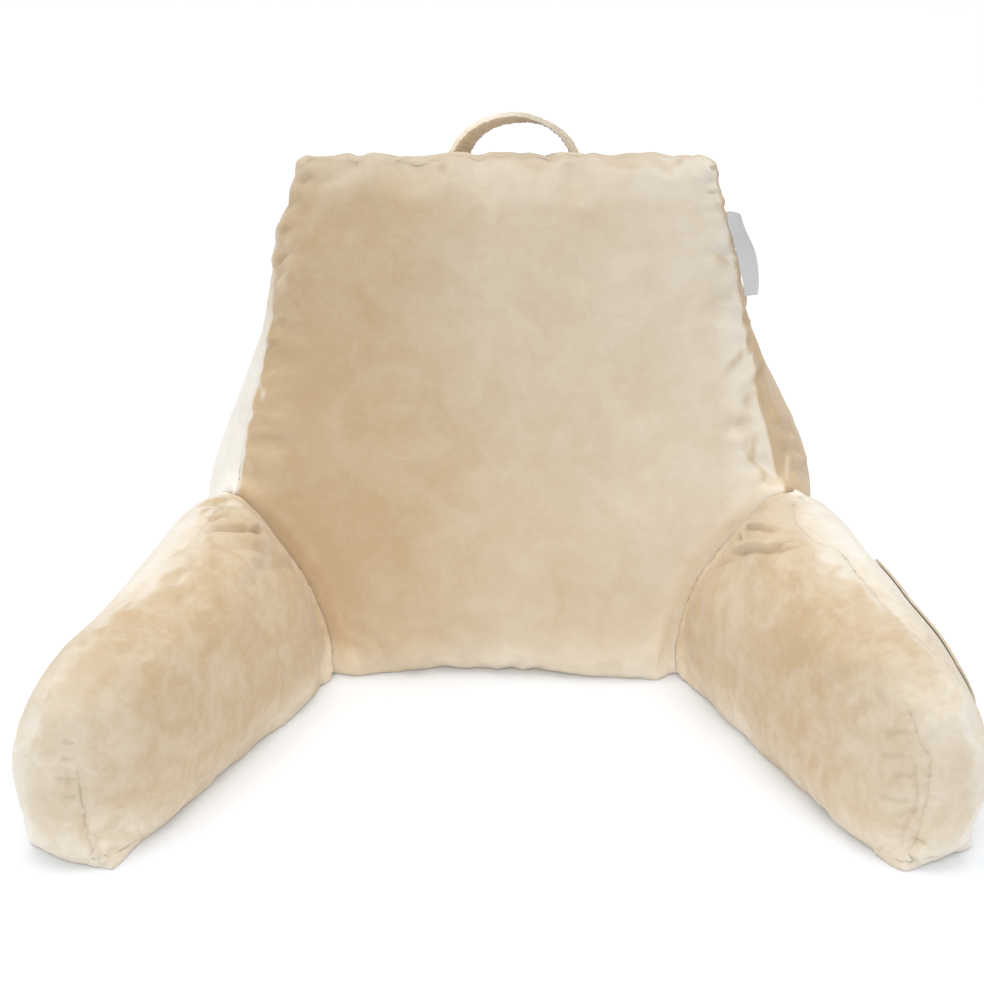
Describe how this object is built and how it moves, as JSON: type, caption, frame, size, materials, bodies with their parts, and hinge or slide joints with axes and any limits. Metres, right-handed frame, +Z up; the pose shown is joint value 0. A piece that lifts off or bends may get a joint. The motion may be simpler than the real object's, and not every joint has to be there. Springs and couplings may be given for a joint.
{
  "type": "reading pillow with arms",
  "caption": "Leaning back cushion with two splayed arms in beige velour, with a strap handle on top, a side pocket and a blank side tag, to sit up against in bed.",
  "frame": {"origin": "middle of the back cushion's flat base, on the surface that the pillow rests on", "axes": "+X to the pillow's left as worn, which is the viewer's right, +Y to its back, +Z up"},
  "size_m": [0.7931, 0.5747, 0.4432],
  "materials": {
    "velour": "beige velour with a soft nap, rough and without gloss",
    "tape": "plain light grey woven tape"
  },
  "bodies": {
    "root": {"back_cushion": "velour", "arm_left": "velour", "arm_right": "velour", "carry_handle": "velour", "arm_pocket": "velour", "side_tag": "tape"}
  },
  "joints": []
}
